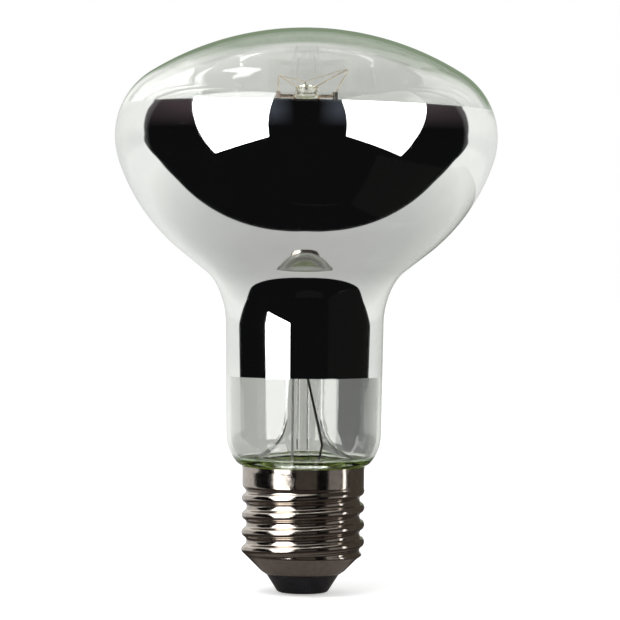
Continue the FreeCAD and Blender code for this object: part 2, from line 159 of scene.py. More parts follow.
class Outline:
    """Points of (radius, height) along tangent arcs and lines. A heading of 0 runs outwards, -90 runs down."""

    def __init__(self, radius, height, heading, inset=0.0):
        self.heading = heading
        self.inset = inset
        self.points = [(radius + inset * sine(heading), height - inset * cosine(heading))]

    def straight(self, length, step=1.0 * MM):
        radius, height = self.points[-1]
        count = max(1, round(length / step))
        for i in range(1, count + 1):
            run = length * i / count
            self.points.append((radius + run * cosine(self.heading), height + run * sine(self.heading)))
        return self

    def bend(self, arc_radius, turn, step=0.5 * MM):
        hand = 1 if turn > 0 else -1
        true_radius = arc_radius - hand * self.inset
        inward = self.heading - 90 * hand
        radius, height = self.points[-1]
        middle = (radius + true_radius * cosine(inward), height + true_radius * sine(inward))
        count = max(6, round(math.radians(abs(turn)) * true_radius / step))
        for i in range(1, count + 1):
            angle = inward + 180 - turn * i / count
            self.points.append((middle[0] + true_radius * cosine(angle), middle[1] + true_radius * sine(angle)))
        self.heading -= turn
        return self

    def down_to(self, height):
        return self.straight((height - self.points[-1][1]) / sine(self.heading))

    def out_to(self, radius):
        return self.straight((radius - self.points[-1][0]) / cosine(self.heading))


# Sizes that follow from the ones above, and the other arcs of the glass: radius, and slope where two arcs meet
DOME_TURN = math.degrees(math.asin((HEAD_RADIUS - SHOULDER_RADIUS) / (DOME_RADIUS - SHOULDER_RADIUS)))
APEX_HEIGHT = WIDEST_HEIGHT + DOME_RADIUS - (DOME_RADIUS - SHOULDER_RADIUS) * cosine(DOME_TURN)
BOWL_UPPER = (17.3 * MM, 19.2)
BOWL_LOWER_RADIUS = 41.4 * MM
THROAT_UPPER_RADIUS = 9.6 * MM
THROAT_LOWER = (18.6 * MM, 25.1)
NECK_FOOT_ARC = (9.6 * MM, 38.0)
RIM_BEND_RADIUS = 2.2 * MM


def neck_foot():
    """Radius of the foot of the neck, from the seal outwards."""
    radius = SEAL_OUTER_RADIUS + SEAL_FILLET * (1 - cosine(RIM_BEND_SLOPE)) + SEAL_SHELF_WIDTH
    radius += RIM_BEND_RADIUS * (cosine(NECK_FOOT_ARC[1]) - cosine(RIM_BEND_SLOPE))
    return radius + NECK_FOOT_ARC[0] * (cosine(NECK_TAPER) - cosine(NECK_FOOT_ARC[1]))


def bowl_straight():
    """Length of the straight part of the bowl. It and the straight neck join the arcs to the foot of the neck."""
    across = HEAD_RADIUS - neck_foot() - BOWL_UPPER[0] * (1 - cosine(BOWL_UPPER[1]))
    across -= BOWL_LOWER_RADIUS * (cosine(BOWL_UPPER[1]) - cosine(BOWL_SLOPE))
    across -= THROAT_UPPER_RADIUS * (cosine(THROAT_LOWER[1]) - cosine(BOWL_SLOPE))
    across -= THROAT_LOWER[0] * (cosine(NECK_TAPER) - cosine(THROAT_LOWER[1]))
    down = WIDEST_HEIGHT - NECK_FOOT_HEIGHT - BOWL_UPPER[0] * sine(BOWL_UPPER[1])
    down -= BOWL_LOWER_RADIUS * (sine(BOWL_SLOPE) - sine(BOWL_UPPER[1]))
    down -= THROAT_UPPER_RADIUS * (sine(BOWL_SLOPE) - sine(THROAT_LOWER[1]))
    down -= THROAT_LOWER[0] * (sine(THROAT_LOWER[1]) - sine(NECK_TAPER))
    return (across * cosine(NECK_TAPER) - down * sine(NECK_TAPER)) / sine(BOWL_SLOPE - NECK_TAPER)


def glass_outline(inset=0.0):
    path = Outline(0, APEX_HEIGHT, 0, inset)
    path.bend(DOME_RADIUS, DOME_TURN).bend(SHOULDER_RADIUS, 90 - DOME_TURN)
    path.bend(*BOWL_UPPER).bend(BOWL_LOWER_RADIUS, BOWL_SLOPE - BOWL_UPPER[1])
    path.straight(bowl_straight())
    path.bend(THROAT_UPPER_RADIUS, THROAT_LOWER[1] - BOWL_SLOPE)
    path.bend(THROAT_LOWER[0], NECK_TAPER - THROAT_LOWER[1])
    return path.down_to(NECK_FOOT_HEIGHT)


def linked(name, data):
    """New object in the scene."""
    made = bpy.data.objects.new(name, data)
    bpy.context.scene.collection.objects.link(made)
    return made


def mesh_piece(name, vertices, faces, material):
    mesh = bpy.data.meshes.new(name)
    mesh.from_pydata(vertices, [], faces)
    mesh.validate()
    shell = bmesh.new()
    shell.from_mesh(mesh)
    bmesh.ops.remove_doubles(shell, verts=shell.verts, dist=WELD)
    bmesh.ops.recalc_face_normals(shell, faces=shell.faces)
    for edge in shell.edges:
        edge.smooth = len(edge.link_faces) != 2 or edge.calc_face_angle() < SHARP_ANGLE
    shell.to_mesh(mesh)
    shell.free()
    mesh.polygons.foreach_set("use_smooth", [True] * len(mesh.polygons))
    mesh.materials.append(material)
    return linked(name, mesh)


def around(radius, height, column):
    """Point in one of the columns round the axis."""
    turn = 2 * math.pi * column / AROUND
    return (radius * math.cos(turn), radius * math.sin(turn), height)


def grid_faces(rows):
    """Quads of a closed skin of rows round the axis. The last row joins the first."""
    faces = []
    for row in range(rows):
        below = row * AROUND
        above = (row + 1) % rows * AROUND
        for column in range(AROUND):
            right = (column + 1) % AROUND
            faces.append((below + column, below + right, above + right, above + column))
    return faces


def spun(name, points, material):
    """Closed lathe piece. A point on the axis becomes a single vertex with a fan round it."""
    vertices = []
    rings = []
    for radius, height in points:
        if radius < WELD:
            rings.append([len(vertices)] * AROUND)
            vertices.append((0, 0, height))
        else:
            rings.append(range(len(vertices), len(vertices) + AROUND))
            vertices += [around(radius, height, column) for column in range(AROUND)]
    faces = []
    for below, above in zip(rings, rings[1:]):
        for column in range(AROUND):
            right = (column + 1) % AROUND
            corners = [below[column], below[right], above[right], above[column]]
            faces.append(tuple(dict.fromkeys(corners)))
    return mesh_piece(name, vertices, faces, material)


def new_material(name):
    material = bpy.data.materials.new(name)
    material.use_nodes = True
    tree = material.node_tree
    shader = tree.nodes["Principled BSDF"]
    return material, tree, shader


def node(tree, kind, **inputs):
    made = tree.nodes.new(kind)
    for key, value in inputs.items():
        made.inputs[key.replace("_", " ")].default_value = value
    return made


def noise(tree, scale, detail=3.0, stretch=(1, 1, 1)):
    place = tree.nodes.new("ShaderNodeTexCoord")
    shape = node(tree, "ShaderNodeMapping", Scale=stretch)
    made = node(tree, "ShaderNodeTexNoise", Scale=scale, Detail=detail)
    tree.links.new(place.outputs["Object"], shape.inputs["Vector"])
    tree.links.new(shape.outputs["Vector"], made.inputs["Vector"])
    return made.outputs["Fac"]


def ramp(tree, source, stops):
    made = tree.nodes.new("ShaderNodeValToRGB")
    while len(made.color_ramp.elements) < len(stops):
        made.color_ramp.elements.new(0.5)
    for element, (position, colour) in zip(made.color_ramp.elements, stops):
        element.position = position
        element.color = (*colour, 1)
    tree.links.new(source, made.inputs["Fac"])
    return made.outputs["Color"]


def maths(tree, operation, first, second=None):
    """Math node of the kind named, on sockets or numbers."""
    made = tree.nodes.new("ShaderNodeMath")
    made.operation = operation
    for value, target in zip((first, second), made.inputs):
        if isinstance(value, bpy.types.NodeSocket):
            tree.links.new(value, target)
        elif value is not None:
            target.default_value = value
    return made.outputs["Value"]


def blend(tree, factor, first, second):
    """Mix of two colours. Each may be a colour or a socket."""
    made = tree.nodes.new("ShaderNodeMix")
    made.data_type = "RGBA"
    tree.links.new(factor, made.inputs[0])
    for value, target in ((first, made.inputs[6]), (second, made.inputs[7])):
        if isinstance(value, bpy.types.NodeSocket):
            tree.links.new(value, target)
        else:
            target.default_value = (*value, 1)
    return made.outputs[2]


def scaled(tree, source, low, high):
    """0 at the low value of the source and 1 at the high one."""
    made = node(tree, "ShaderNodeMapRange", From_Min=low, From_Max=high, To_Min=0, To_Max=1)
    tree.links.new(source, made.inputs["Value"])
    return made.outputs["Result"]


def spread(tree, source, low, high, target):
    """Maps the middle of a noise to low..high and plugs it in."""
    made = node(tree, "ShaderNodeMapRange", From_Min=0.3, From_Max=0.7, To_Min=low, To_Max=high)
    tree.links.new(source, made.inputs["Value"])
    tree.links.new(made.outputs["Result"], target)


def bump(tree, shader, source, strength, distance):
    """Relief whose highest points stand out by the distance."""
    made = node(tree, "ShaderNodeBump", Strength=strength, Distance=distance)
    tree.links.new(source, made.inputs["Height"])
    tree.links.new(made.outputs["Normal"], shader.inputs["Normal"])


GLASS_HAZE = 0.004
GLASS_HAZE_SCALE = 260
GLASS_DENSITY = 45
GLASS_RELIEF = 0.2 * MM
METAL_RELIEF = 0.05 * MM
MATT_RELIEF = 0.2 * MM


def glass(name, colour, waves, wave_scale, stretch=(1, 1, 1), depth=None, bending=1.52):
    """Glass that is clear through a thin wall and takes the colour of its depth along a long way."""
    material, tree, shader = new_material(name)
    shader.inputs["Base Color"].default_value = (*colour, 1)
    shader.inputs["Transmission Weight"].default_value = 1
    shader.inputs["IOR"].default_value = bending
    spread(tree, noise(tree, GLASS_HAZE_SCALE), 0, GLASS_HAZE, shader.inputs["Roughness"])
    bump(tree, shader, noise(tree, wave_scale, 2, stretch=stretch), waves, GLASS_RELIEF)
    if depth:
        inside = node(tree, "ShaderNodeVolumeAbsorption", Color=(*depth, 1), Density=GLASS_DENSITY)
        tree.links.new(inside.outputs["Volume"], tree.nodes["Material Output"].inputs["Volume"])
    return material


def metal(name, dark, light, roughness, mottle=420, grain=None, grain_depth=0.1, stretch=(1, 1, 1)):
    material, tree, shader = new_material(name)
    shader.inputs["Metallic"].default_value = 1
    colour = ramp(tree, noise(tree, mottle), [(0.35, dark), (0.65, light)])
    tree.links.new(colour, shader.inputs["Base Color"])
    spread(tree, noise(tree, mottle * 1.7), roughness * 0.7, roughness * 1.4, shader.inputs["Roughness"])
    if grain:
        bump(tree, shader, noise(tree, grain, 4, stretch=stretch), grain_depth, METAL_RELIEF)
    return material


def matt(name, dark, light, roughness, mottle, grain, grain_depth):
    material, tree, shader = new_material(name)
    colour = ramp(tree, noise(tree, mottle, 5), [(0.3, dark), (0.7, light)])
    tree.links.new(colour, shader.inputs["Base Color"])
    shader.inputs["Roughness"].default_value = roughness
    bump(tree, shader, noise(tree, grain, 5), grain_depth, MATT_RELIEF)
    return material


clear_glass = glass("clear_glass", (0.99, 0.99, 0.985), 0.02, 60, depth=(0.55, 0.82, 0.45))
stem_glass = glass("stem_glass", (0.98, 0.98, 0.975), 0.25, 260, stretch=(1, 1, 0.25), bending=1.12)
button_glass = glass("button_glass", (0.98, 0.97, 0.86), 0.6, 500)
film_metal = metal("film_metal", (0.90, 0.90, 0.905), (0.94, 0.94, 0.94), 0.012, 90)
nickel = metal("nickel", (0.46, 0.41, 0.365), (0.53, 0.48, 0.43), 0.14, 700, 260, 0.12, (1, 1, 6))
solder = metal("solder", (0.50, 0.50, 0.48), (0.66, 0.66, 0.64), 0.32, 900, 1300, 0.4)
contact_metal = metal("contact_metal", (0.52, 0.43, 0.26), (0.66, 0.56, 0.36), 0.25, 700, 900, 0.2)
lead_metal = metal("lead_metal", (0.36, 0.27, 0.20), (0.50, 0.40, 0.30), 0.3, 900, 1500, 0.3)
# Two copies of one wire metal, painted for how the light falls: this dark one is painted shade, for the right seal
# wire, the side wire and the right crimp.
shaded_wire = metal("shaded_wire", (0.07, 0.065, 0.06), (0.13, 0.12, 0.11), 0.4, 900, 1500, 0.3)
# This pale one is painted light, for the left seal wire and the centre wire.
lit_wire = matt("lit_wire", (0.52, 0.52, 0.50), (0.72, 0.72, 0.70), 0.5, 900, 1500, 0.3)
support_wire = metal("support_wire", (0.34, 0.27, 0.18), (0.50, 0.40, 0.28), 0.35, 900)
tungsten = metal("tungsten", (0.60, 0.52, 0.38), (0.72, 0.62, 0.46), 0.4, 900)
# Painted light: the pale pinkish sleeve of the left crimp, the lit copy of the sleeve that is painted dark as shade on
# the right.
lit_sleeve = matt("lit_sleeve", (0.80, 0.62, 0.55), (0.92, 0.80, 0.72), 0.4, 900, 1500, 0.2)
black_glass = matt("black_glass", (0.006, 0.006, 0.008), (0.016, 0.016, 0.019), 0.18, 500, 420, 0.08)
cement = matt("cement", (0.22, 0.31, 0.02), (0.38, 0.47, 0.06), 0.85, 900, 1500, 0.6)


def seal_outline(inset=0.0):
    """Outer face of the glass, down past the cap's rim to the lower end of the seal."""
    path = glass_outline(inset)
    path.bend(NECK_FOOT_ARC[0], NECK_FOOT_ARC[1] - NECK_TAPER)
    path.bend(RIM_BEND_RADIUS, RIM_BEND_SLOPE - NECK_FOOT_ARC[1], FINE_STEP)
    path.straight(SEAL_SHELF_WIDTH / sine(RIM_BEND_SLOPE), FINE_STEP)
    path.bend(SEAL_FILLET, -RIM_BEND_SLOPE, FINE_STEP)
    return path.down_to(SEAL_BOTTOM_HEIGHT)


def envelope_glass():
    inside = glass_outline(WALL)
    reach = NECK_FOOT_ARC[0] - WALL - SEAL_FLOOR_FILLET
    drop = inside.points[-1][1] - SEAL_FLOOR_HEIGHT - SEAL_FLOOR_FILLET
    turn = math.degrees(math.asin((drop + (NECK_FOOT_ARC[0] - WALL) * sine(NECK_TAPER)) / reach)) - NECK_TAPER
    inside.bend(NECK_FOOT_ARC[0], turn)
    inside.inset = 0
    inside.bend(SEAL_FLOOR_FILLET, 90 - NECK_TAPER - turn, FINE_STEP)
    inside.out_to(SEAL_JOINT_RADIUS)
    foot = [(SEAL_JOINT_RADIUS, SEAL_BOTTOM_HEIGHT)]
    return spun("envelope_glass", seal_outline().points + foot + inside.points[::-1], clear_glass)


def cement_ring():
    """Cement that wets the underside of the glass, so that it shows through it without an air gap."""
    bore = SKIRT_RADIUS - CAP_WALL - CEMENT_CLEARANCE
    over_rim = CAP_RIM_HEIGHT + CEMENT_CLEARANCE
    path = seal_outline(CEMENT_WETTING)
    foot = SEAL_BOTTOM_HEIGHT + CEMENT_WETTING
    inner = [(STEM_RIM_RADIUS, foot), (STEM_RIM_RADIUS, CEMENT_TOP), (CEMENT_INNER_RADIUS, CEMENT_TOP)]
    under = [point for point in path.points if point[0] < CEMENT_REACH and point[1] < NECK_FOOT_HEIGHT]
    points = [(bore, over_rim), (CEMENT_REACH, over_rim)] + under + [(under[-1][0], foot)] + inner
    points += [(CEMENT_INNER_RADIUS, CEMENT_BOTTOM), (bore, CEMENT_BOTTOM)]
    return spun("cement_ring", points + points[:1], cement)


def resampled(points, shares, low_height, high_height):
    """Points at the given shares of the way along an outline, between two heights of it."""
    lengths = [0.0]
    for (r0, z0), (r1, z1) in zip(points, points[1:]):
        lengths.append(lengths[-1] + math.hypot(r1 - r0, z1 - z0))

    def at(value, keys, values):
        for i in range(1, len(keys)):
            if (keys[i - 1] - value) * (keys[i] - value) <= 0:
                share = (value - keys[i - 1]) / (keys[i] - keys[i - 1])
                return values[i - 1] + (values[i] - values[i - 1]) * share

    heights = [z for _, z in points]
    start = at(high_height, heights, lengths)
    end = at(low_height, heights, lengths)
    made = []
    i = 1
    for share in shares:
        length = start + (end - start) * share
        while lengths[i] < length and i < len(points) - 1:
            i += 1
        part = (length - lengths[i - 1]) / (lengths[i] - lengths[i - 1])
        (r0, z0), (r1, z1) = points[i - 1], points[i]
        made.append((r0 + (r1 - r0) * part, z0 + (z1 - z0) * part))
    return made


def mirror_film():
    """Metal film that is bedded in the inner face of the glass. Its upper edge is slightly tilted."""
    shares = [i / (FILM_ROWS - 1) for i in range(FILM_ROWS)]
    sides = [glass_outline(WALL - FILM_BEDDING + depth).points for depth in (0, FILM_THICKNESS)]
    columns = []
    for column in range(AROUND):
        turn = 2 * math.pi * column / AROUND
        top = FILM_TOP_HEIGHT - HEAD_RADIUS * math.cos(turn) * sine(FILM_TOP_TILT)
        outer, inner = (resampled(side, shares, FILM_BOTTOM_HEIGHT, top) for side in sides)
        columns.append([around(radius, height, column) for radius, height in outer + inner[::-1]])
    vertices = [columns[column][row] for row in range(2 * FILM_ROWS) for column in range(AROUND)]
    return mesh_piece("mirror_film", vertices, grid_faces(2 * FILM_ROWS), film_metal)


def thread_radius(rise):
    """Radius of the round thread at a height above a crest: two tangent arcs in each half pitch."""
    half = THREAD_PITCH / 2
    depth = CREST_RADIUS - ROOT_RADIUS
    arc = ((half / 2) ** 2 + (depth / 2) ** 2) / depth
    from_crest = abs((rise + half) % THREAD_PITCH - half)
    if from_crest < half / 2:
        return CREST_RADIUS - arc + math.sqrt(arc**2 - from_crest**2)
    return ROOT_RADIUS + arc - math.sqrt(arc**2 - (half - from_crest) ** 2)


def ease(share):
    share = min(max(share, 0.0), 1.0)
    return share * share * (3 - 2 * share)


def cap_radius(turn, height):
    """Radius of the rolled part of the cap, where the thread runs out into the skirt and the cone."""
    crest = LEFT_CREST_HEIGHT + THREAD_PITCH * (turn - 0.5)
    upper = ease((THREAD_TOP - height) / THREAD_RUNOUT)
    lower = ease((height - THREAD_BOTTOM) / THREAD_RUNOUT)
    cone = CONE_TOP_RADIUS + (height - THREAD_BOTTOM) * math.tan(math.radians(CONE_SLOPE))
    radius = SKIRT_RADIUS + (thread_radius(height - crest) - SKIRT_RADIUS) * upper
    return cone + (radius - cone) * lower


def cap_cone():
    """Outer face of the cone, from the thread down and in to the mouth."""
    cone = Outline(CONE_TOP_RADIUS, THREAD_BOTTOM, -90 - CONE_SLOPE)
    cone.straight((CONE_TOP_RADIUS - CONE_TURN_RADIUS) / sine(CONE_SLOPE), step=0.5 * MM)
    cone.bend(CONE_BEND_RADIUS, MOUTH_SLOPE - CONE_SLOPE)
    return cone.out_to(MOUTH_RADIUS)


def insulator_body():
    """Black glass that fills the cone and stands out under its mouth, down to the contact."""
    cone = cap_cone()
    against = [(r - CAP_WALL - INSULATOR_GAP, z) for r, z in cone.points if z < INSULATOR_TOP]
    mouth_height = cone.points[-1][1] - INSULATOR_GAP
    slope = math.degrees(math.atan2(mouth_height - CONTACT_UNDERSIDE, INSULATOR_LIP - FOOT_RADIUS))
    foot = Outline(INSULATOR_LIP, mouth_height, -180 + slope)
    run = math.hypot(mouth_height - CONTACT_UNDERSIDE, INSULATOR_LIP - FOOT_RADIUS)
    trim = FOOT_FILLET * math.tan(math.radians(slope / 2))
    foot.straight(run - trim, step=0.4 * MM).bend(FOOT_FILLET, slope, step=0.1 * MM).out_to(CONTACT_RADIUS)
    points = [(INSULATOR_BORE, INSULATOR_TOP), (against[0][0], INSULATOR_TOP)] + against
    points += [(against[-1][0], mouth_height)] + foot.points
    points += [(CONTACT_RADIUS, CONTACT_TOP), (INSULATOR_BORE, CONTACT_TOP)]
    return spun("insulator_body", points + points[:1], black_glass)


def screw_cap():
    """Sheet cap, rolled with the round thread on both of its sides."""
    rows = []
    cone = cap_cone()
    for radius, height in reversed(cone.points[1:]):
        rows.append([(radius, height)] * AROUND)
    for i in range(THREAD_ROWS + 1):
        height = THREAD_BOTTOM + (THREAD_TOP - THREAD_BOTTOM) * i / THREAD_ROWS
        rows.append([(cap_radius(column / AROUND, height), height) for column in range(AROUND)])
    for i in range(1, SKIRT_ROWS + 1):
        height = THREAD_TOP + (CAP_RIM_HEIGHT - THREAD_TOP) * i / SKIRT_ROWS
        flare = LIP_FLARE * ease((height - CAP_RIM_HEIGHT + LIP_HEIGHT) / LIP_HEIGHT)
        rows.append([(SKIRT_RADIUS + flare, height)] * AROUND)
    inner = [[(radius - CAP_WALL, height) for radius, height in row] for row in reversed(rows)]
    vertices = []
    for row in rows + inner:
        vertices += [around(radius, height, column) for column, (radius, height) in enumerate(row)]
    return mesh_piece("screw_cap", vertices, grid_faces(len(rows) * 2), nickel)


def bent_route(corners, radius, step):
    """Points along straight runs that are joined by tangent arcs."""
    corners = [Vector(corner) for corner in corners]
    route = [corners[0]]
    for before, corner, after in zip(corners, corners[1:], corners[2:]):
        back = (before - corner).normalized()
        ahead = (after - corner).normalized()
        half = back.angle(ahead) / 2
        trim = radius / math.tan(half)
        middle = corner + (back + ahead).normalized() * (radius / math.sin(half))
        first, last = corner + back * trim - middle, corner + ahead * trim - middle
        turn = first.angle(last)
        axis = first.cross(last)
        count = max(4, round(turn * radius / step))
        for i in range(count + 1):
            route.append(middle + Matrix.Rotation(turn * i / count, 3, axis) @ first)
    route.append(corners[-1])
    fine = [route[0]]
    for start, end in zip(route, route[1:]):
        count = max(1, round((end - start).length / step))
        fine += [start.lerp(end, i / count) for i in range(1, count + 1)]
    return fine


def tube(name, route, radius, sides, material):
    """Round wire along a route, with its rings kept from twisting."""
    vertices = []
    faces = []
    side = None
    for i, point in enumerate(route):
        ahead = (route[min(i + 1, len(route) - 1)] - route[max(i - 1, 0)]).normalized()
        side = ahead.orthogonal() if side is None else side - ahead * side.dot(ahead)
        side.normalize()
        up = ahead.cross(side)
        for k in range(sides):
            angle = 2 * math.pi * k / sides
            vertices.append(point + (side * math.cos(angle) + up * math.sin(angle)) * radius)
    for ring in range(len(route) - 1):
        for k in range(sides):
            a, b = ring * sides + k, ring * sides + (k + 1) % sides
            faces.append((a, b, b + sides, a + sides))
    faces.append(tuple(range(sides))[::-1])
    faces.append(tuple(range(len(vertices) - sides, len(vertices))))
    return mesh_piece(name, vertices, faces, material)


def coiled_filament():
    line = bent_route(FILAMENT_CORNERS, FILAMENT_BEND, COIL_PITCH / COIL_POINTS)
    route = []
    side = None
    for i, point in enumerate(line):
        ahead = (line[min(i + 1, len(line) - 1)] - line[max(i - 1, 0)]).normalized()
        side = ahead.orthogonal() if side is None else side - ahead * side.dot(ahead)
        side.normalize()
        angle = 2 * math.pi * i / COIL_POINTS
        route.append(point + (side * math.cos(angle) + ahead.cross(side) * math.sin(angle)) * COIL_RADIUS)
    return tube("coiled_filament", route, FILAMENT_WIRE_RADIUS, FILAMENT_WIRE_SIDES, tungsten)


def crimp(side, painted_tone):
    """Sleeve that holds the end of the filament on its lead."""
    foot = Vector((side * CRIMP_OFFSET, 0, LEAD_END[2] - CRIMP_START))
    route = [foot + Vector((0, 0, rise * MM)) for rise in CRIMP_RISES]
    name = "left_crimp" if side < 0 else "right_crimp"
    return tube(name, route, CRIMP_RADIUS, CRIMP_SIDES, painted_tone)


def dress(name, material):
    """Gives a node of the CAD model its material."""
    piece = nodes[name]
    piece.data.materials.clear()
    piece.data.materials.append(material)
    piece.data.polygons.foreach_set("use_smooth", [True] * len(piece.data.polygons))


def carry(piece, slot, *stands_for):
    """Fixes a piece to the lamp in place of the solids that it stands for. The slot is not used."""
    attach(piece, "root")
    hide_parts(*stands_for)


carry(envelope_glass(), "clear_glass", "envelope")
carry(mirror_film(), "mirror_film", "mirror_coating")
carry(cement_ring(), "cement", "basing_cement")
carry(screw_cap(), "nickel_plate", "cap_shell")
carry(insulator_body(), "black_glass", "insulator")
carry(coiled_filament(), "tungsten", "filament")
# The left crimp is painted lit and the right one painted in shade; both are the same sleeve.
for side, painted_tone in ((-1, lit_sleeve), (1, shaded_wire)):
    carry(crimp(side, painted_tone), "nickel_wire")

for name in ("stem", "exhaust_tube"):
    dress(name, stem_glass)
dress("glass_arbor", button_glass)
for name in ("lead_left", "lead_right"):
    dress(name, lead_metal)
# Painted light: these wires take the pale lit copy of the wire metal.
for name in ("seal_wire_left", "centre_wire"):
    dress(name, lit_wire)
# Painted shade: these wires take the dark shaded copy of the same wire metal.
for name in ("seal_wire_right", "side_wire"):
    dress(name, shaded_wire)
for name in ("support_1", "support_2", "support_3"):
    dress(name, support_wire)
for name in ("side_solder", "contact_solder"):
    dress(name, solder)
dress("centre_contact", contact_metal)


# Studio: sheets that only reflections or the glass show. Their corners are in millimetres.
def reflected(tree, inverted=False):
    """1 for light that was mirrored on its way and 0 for light that came straight through, or the other way round."""
    path = tree.nodes.new("ShaderNodeLightPath")
    return maths(tree, "LESS_THAN" if inverted else "GREATER_THAN", path.outputs["Glossy Depth"], 0.5)


def card(name, corners, strength, colour=(1, 1, 1), behind=False, painted_shade=None, hidden_from=(), within=None):
    """Bright or dark sheet. Sheets behind the glass show straight through it, and all others only by a reflection.

    A ramp of painted shade gives its colour by the distance from the foot of the lamp, up to FADE_REACH, and within
    is the longest way in millimetres from which it shows.
    """
    mesh = bpy.data.meshes.new(name)
    mesh.from_pydata([Vector(corner) * MM for corner in corners], [], [tuple(range(len(corners)))])
    material = bpy.data.materials.new(name)
    material.use_nodes = True
    tree = material.node_tree
    tree.nodes.clear()
    glow = node(tree, "ShaderNodeEmission", Color=(*colour, 1), Strength=strength)
    clear = tree.nodes.new("ShaderNodeBsdfTransparent")
    if painted_shade:
        away = tree.nodes.new("ShaderNodeVectorMath")
        away.operation = "LENGTH"
        place = tree.nodes.new("ShaderNodeTexCoord")
        tree.links.new(place.outputs["Object"], away.inputs[0])
        share = scaled(tree, away.outputs["Value"], 0, FADE_REACH)
        tree.links.new(ramp(tree, share, painted_shade), glow.inputs["Color"])
    seen = reflected(tree, behind)
    if within:
        path = tree.nodes.new("ShaderNodeLightPath")
        near = maths(tree, "LESS_THAN", path.outputs["Ray Length"], within * MM)
        seen = maths(tree, "MULTIPLY", seen, near)
    mixed = tree.nodes.new("ShaderNodeMixShader")
    tree.links.new(seen, mixed.inputs["Fac"])
    tree.links.new(clear.outputs["BSDF"], mixed.inputs[1])
    tree.links.new(glow.outputs["Emission"], mixed.inputs[2])
    out = tree.nodes.new("ShaderNodeOutputMaterial")
    tree.links.new(mixed.outputs["Shader"], out.inputs["Surface"])
    mesh.materials.append(material)
    made = linked(name, mesh)
    made.visible_camera = False
    made.visible_shadow = False
    made.visible_diffuse = False
    made.visible_glossy = "glossy" not in hidden_from
    made.visible_transmission = "transmission" not in hidden_from


def table_corners():
    """White sheet under the lamp. Its front edge lies just before the lamp and bends back at the sides."""
    front = []
    for x in range(-TABLE_SIDE, TABLE_SIDE + 1, TABLE_STEP):
        near = min(abs(x), TABLE_BEND_END)
        bent = TABLE_BEND_DEPTH * (near / TABLE_BEND_WIDTH) ** TABLE_BEND_POWER
        front.append((x, TABLE_FRONT + bent + TABLE_SLOPE * (abs(x) - near), TABLE_HEIGHT))
    return front + [(TABLE_SIDE, TABLE_BACK, TABLE_HEIGHT), (-TABLE_SIDE, TABLE_BACK, TABLE_HEIGHT)]


def arch_corners():
    """Dark sheet close behind the top of the dome, with an arched lower edge."""
    low = [(x, ARCH_AWAY, ARCH_CROWN - ARCH_CURVE * x * x) for x in range(-ARCH_SIDE, ARCH_SIDE + 1, 3)]
    return low + [(ARCH_SIDE, ARCH_AWAY, ARCH_TOP), (-ARCH_SIDE, ARCH_AWAY, ARCH_TOP)]


def cap_sheet(first, last, low, high):
    """Corners of a sheet that stands before the cap, between two angles round it from the front to the right."""
    ends = [(CAP_SHEET_RADIUS * sine(angle), -CAP_SHEET_RADIUS * cosine(angle)) for angle in (first, last)]
    return [(*ends[0], low), (*ends[1], low), (*ends[1], high), (*ends[0], high)]


TABLE_SIDE = 1240
TABLE_STEP = 20
TABLE_FRONT = -35
TABLE_BACK = 1600
TABLE_HEIGHT = -0.5
TABLE_BEND_DEPTH = 50
TABLE_BEND_WIDTH = 195
TABLE_BEND_POWER = 1.35
TABLE_BEND_END = 170
TABLE_SLOPE = 0.5
ARCH_AWAY = 60
ARCH_CROWN = 125.6
ARCH_CURVE = 0.0041
ARCH_SIDE = 60
ARCH_TOP = 150
CAP_SHEET_RADIUS = 60

FADE_REACH = 1000 * MM
# Painted shade on the table sheet that the film mirrors, by the distance from the lamp's foot: darker near the foot,
# brightest in the middle, dimmer far off.
TABLE_PAINTED_SHADE = [
    (0.0, (0.50, 0.49, 0.49)),
    (0.048, (0.54, 0.535, 0.535)),
    (0.084, (0.58, 0.58, 0.58)),
    (0.16, (0.76, 0.76, 0.755)),
    (0.25, (0.94, 0.94, 0.935)),
    (0.60, (0.97, 0.97, 0.965)),
    (0.80, (0.90, 0.90, 0.895)),
    (1.0, (0.87, 0.87, 0.865)),
]
# Painted shadow under the cap, on the sheet that the cap mirrors: nearly black at the foot, a faint lighter ring near
# the cap's radius, then lighter outwards.
UNDER_CAP_PAINTED_SHADOW = [
    (0.0, (0.05, 0.045, 0.04)),
    (0.013, (0.18, 0.165, 0.155)),
    (0.017, (0.16, 0.145, 0.135)),
    (0.021, (0.05, 0.04, 0.035)),
    (0.045, (0.06, 0.05, 0.045)),
    (0.08, (0.45, 0.44, 0.44)),
    (0.16, (0.75, 0.75, 0.75)),
]
LEFT_SOFTBOX = [
    (-172, -122, 2), (-236, -602, 2), (-240, -520, 900), (-620, -60, 600), (-489, -80, 428),
    (-380, -112, 278), (-305, -128, 175), (-239, -131, 86), (-201, -128, 37),
]
RIGHT_SOFTBOX = [
    (66, -57, 64), (108, -266, 64), (140, -311, 420), (300, -16, 420),
    (133, -32, 177), (105, -47, 129), (93, -52, 109), (80, -57, 85),
]
GLINT = [(-191, 156, 500), (-127, 158, 500), (-94, 90, 500), (-151, 0, 500), (-205, 8, 500), (-155, 78, 500)]
DARK_RIGHT = [(9.9, 120, -20), (140, 120, -20), (140, 120, 75), (9.9, 120, 75)]
NOT_FILM = ("transmission",)
NOT_CAP = ("glossy",)

